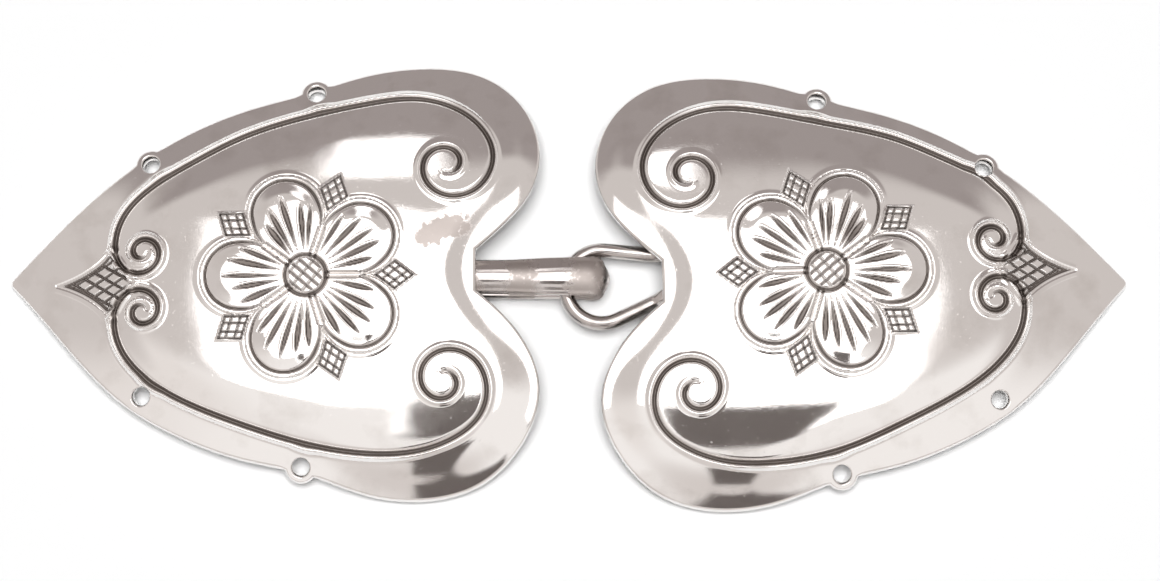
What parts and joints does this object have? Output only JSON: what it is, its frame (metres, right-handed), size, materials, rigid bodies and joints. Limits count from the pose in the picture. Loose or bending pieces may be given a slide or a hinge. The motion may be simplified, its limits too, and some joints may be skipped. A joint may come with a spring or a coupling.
{
  "type": "cape clasp",
  "caption": "Hook-and-eye cape clasp of domed pewter heart plates with raised rosettes and scroll borders.",
  "frame": {"origin": "on the ground under the middle of the fastened clasp", "axes": "+X along the clasp from the hook's plate to the eye's plate, +Y up the wearer's chest, +Z out of the ornamented faces"},
  "size_m": [0.1098, 0.0444, 0.0068],
  "materials": {
    "polished_pewter": "cast pewter, buffed bright, dark in the sunk lines"
  },
  "bodies": {
    "root": {"heart_with_hook": "polished_pewter", "heart_with_eye": "polished_pewter"}
  },
  "joints": []
}
